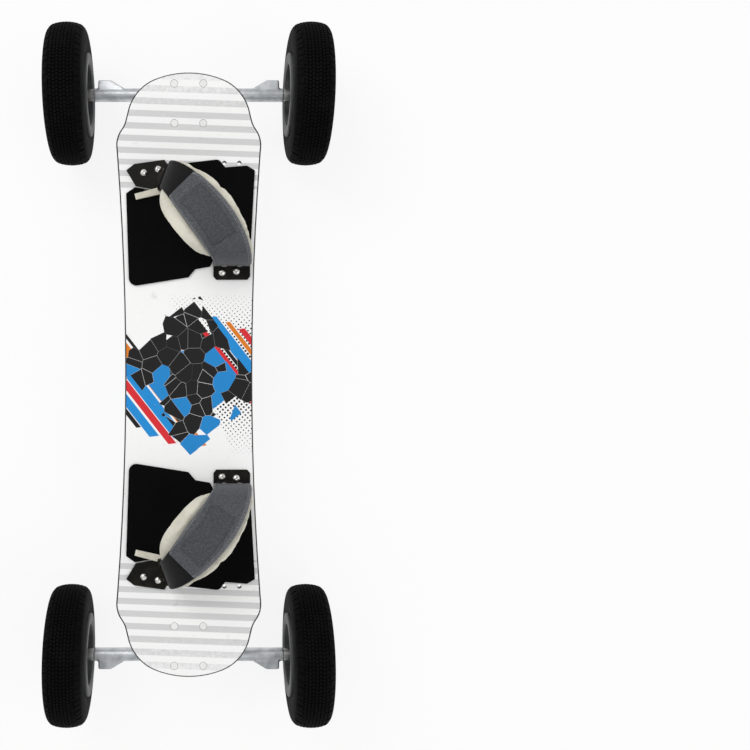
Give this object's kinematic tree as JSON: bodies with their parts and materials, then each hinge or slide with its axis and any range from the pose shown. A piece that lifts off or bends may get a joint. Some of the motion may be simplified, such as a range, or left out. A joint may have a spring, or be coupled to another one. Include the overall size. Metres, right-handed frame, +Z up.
{
  "type": "mountainboard",
  "caption": "Off-road board: kicked laminated deck with foot bindings on sprung steering trucks, each with pneumatic wheels on ball bearings.",
  "frame": {"origin": "on the ground under the middle of the deck", "axes": "+Y towards the nose, +X across the board, +Z up"},
  "size_m": [0.419, 1.043, 0.2451],
  "materials": {
    "deck": null,
    "foot_pad": "fine grained grip foam",
    "bracket_steel": "black powder coat",
    "bolt_steel": "zinc plated",
    "rivet_steel": "burnished",
    "riser": "smooth moulded",
    "pivot_cup": "moulded",
    "liner_foam": "brushed cloth over foam",
    "lower_strap": "woven webbing",
    "upper_strap": "woven webbing with a stitched patch",
    "cast_truck": "cast and tumbled",
    "bushing": "moulded urethane",
    "kingpin_steel": "zinc plated",
    "axle_steel": "turned",
    "tyre": "moulded tread",
    "inner_tube": "smooth",
    "hub": "moulded grey nylon",
    "bearing_steel": "ground"
  },
  "bodies": {
    "board": {"deck": "deck", "front_foot_pad": "foot_pad", "rear_foot_pad": "foot_pad", "front_binding_brackets": "bracket_steel", "rear_binding_brackets": "bracket_steel", "binding_bolts": "bolt_steel", "binding_inserts": "bolt_steel", "lower_strap_rivets": "rivet_steel", "riser_pads": "riser", "pivot_cups": "pivot_cup", "truck_bolts": "bolt_steel", "truck_nuts": "bolt_steel", "front_strap_liner": "liner_foam", "rear_strap_liner": "liner_foam", "front_lower_strap": "lower_strap", "rear_lower_strap": "lower_strap", "front_baseplate": "cast_truck", "rear_baseplate": "cast_truck", "front_bushings": "bushing", "rear_bushings": "bushing", "kingpins": "kingpin_steel", "kingpin_nuts": "kingpin_steel", "cup_washers": "kingpin_steel"},
    "front_strap": {"front_upper_strap": "upper_strap", "front_upper_strap_rivets": "rivet_steel"},
    "front_truck": {"front_hanger": "cast_truck", "front_axle": "axle_steel", "front_axle_nuts": "axle_steel", "front_axle_spacers": "axle_steel"},
    "rear_strap": {"rear_upper_strap": "upper_strap", "rear_upper_strap_rivets": "rivet_steel"},
    "rear_truck": {"rear_hanger": "cast_truck", "rear_axle": "axle_steel", "rear_axle_nuts": "axle_steel", "rear_axle_spacers": "axle_steel"},
    "front_left_wheel": {"front_left_tyre": "tyre", "front_left_inner_tube": "inner_tube", "front_left_hub_inner": "hub", "front_left_hub_outer": "hub", "front_left_hub_bolts": "bolt_steel", "front_left_bearings": "bearing_steel"},
    "front_right_wheel": {"front_right_tyre": "tyre", "front_right_inner_tube": "inner_tube", "front_right_hub_inner": "hub", "front_right_hub_outer": "hub", "front_right_hub_bolts": "bolt_steel", "front_right_bearings": "bearing_steel"},
    "rear_left_wheel": {"rear_left_tyre": "tyre", "rear_left_inner_tube": "inner_tube", "rear_left_hub_inner": "hub", "rear_left_hub_outer": "hub", "rear_left_hub_bolts": "bolt_steel", "rear_left_bearings": "bearing_steel"},
    "rear_right_wheel": {"rear_right_tyre": "tyre", "rear_right_inner_tube": "inner_tube", "rear_right_hub_inner": "hub", "rear_right_hub_outer": "hub", "rear_right_hub_bolts": "bolt_steel", "rear_right_bearings": "bearing_steel"}
  },
  "joints": [
    {"name": "front_steer", "type": "hinge", "parent": "board", "child": "front_truck", "pos_m": [0, 0.38089, 0.11674], "axis": [0, 0.7336, 0.6796], "range_deg": [-20, 20], "stiffness_Nm_per_rad": 60, "deforming": ["front_bushings"]},
    {"name": "rear_steer", "type": "hinge", "parent": "board", "child": "rear_truck", "pos_m": [0, -0.38089, 0.11674], "axis": [0, -0.7336, 0.6796], "range_deg": [-20, 20], "stiffness_Nm_per_rad": 60, "deforming": ["rear_bushings"]},
    {"name": "front_left_spin", "type": "hinge", "parent": "front_truck", "child": "front_left_wheel", "pos_m": [-0.178, 0.419, 0.1025], "axis": [1, 0, 0], "continuous": true},
    {"name": "front_right_spin", "type": "hinge", "parent": "front_truck", "child": "front_right_wheel", "pos_m": [0.178, 0.419, 0.1025], "axis": [1, 0, 0], "continuous": true},
    {"name": "rear_left_spin", "type": "hinge", "parent": "rear_truck", "child": "rear_left_wheel", "pos_m": [-0.178, -0.419, 0.1025], "axis": [1, 0, 0], "continuous": true},
    {"name": "rear_right_spin", "type": "hinge", "parent": "rear_truck", "child": "rear_right_wheel", "pos_m": [0.178, -0.419, 0.1025], "axis": [1, 0, 0], "continuous": true},
    {"name": "front_strap_open", "type": "hinge", "parent": "board", "child": "front_strap", "pos_m": [0.06205, 0.1576, 0.1545], "axis": [1, 0, 0], "range_deg": [0, 50]},
    {"name": "rear_strap_open", "type": "hinge", "parent": "board", "child": "rear_strap", "pos_m": [0.06205, -0.1576, 0.1545], "axis": [-1, 0, 0], "range_deg": [0, 50]}
  ]
}
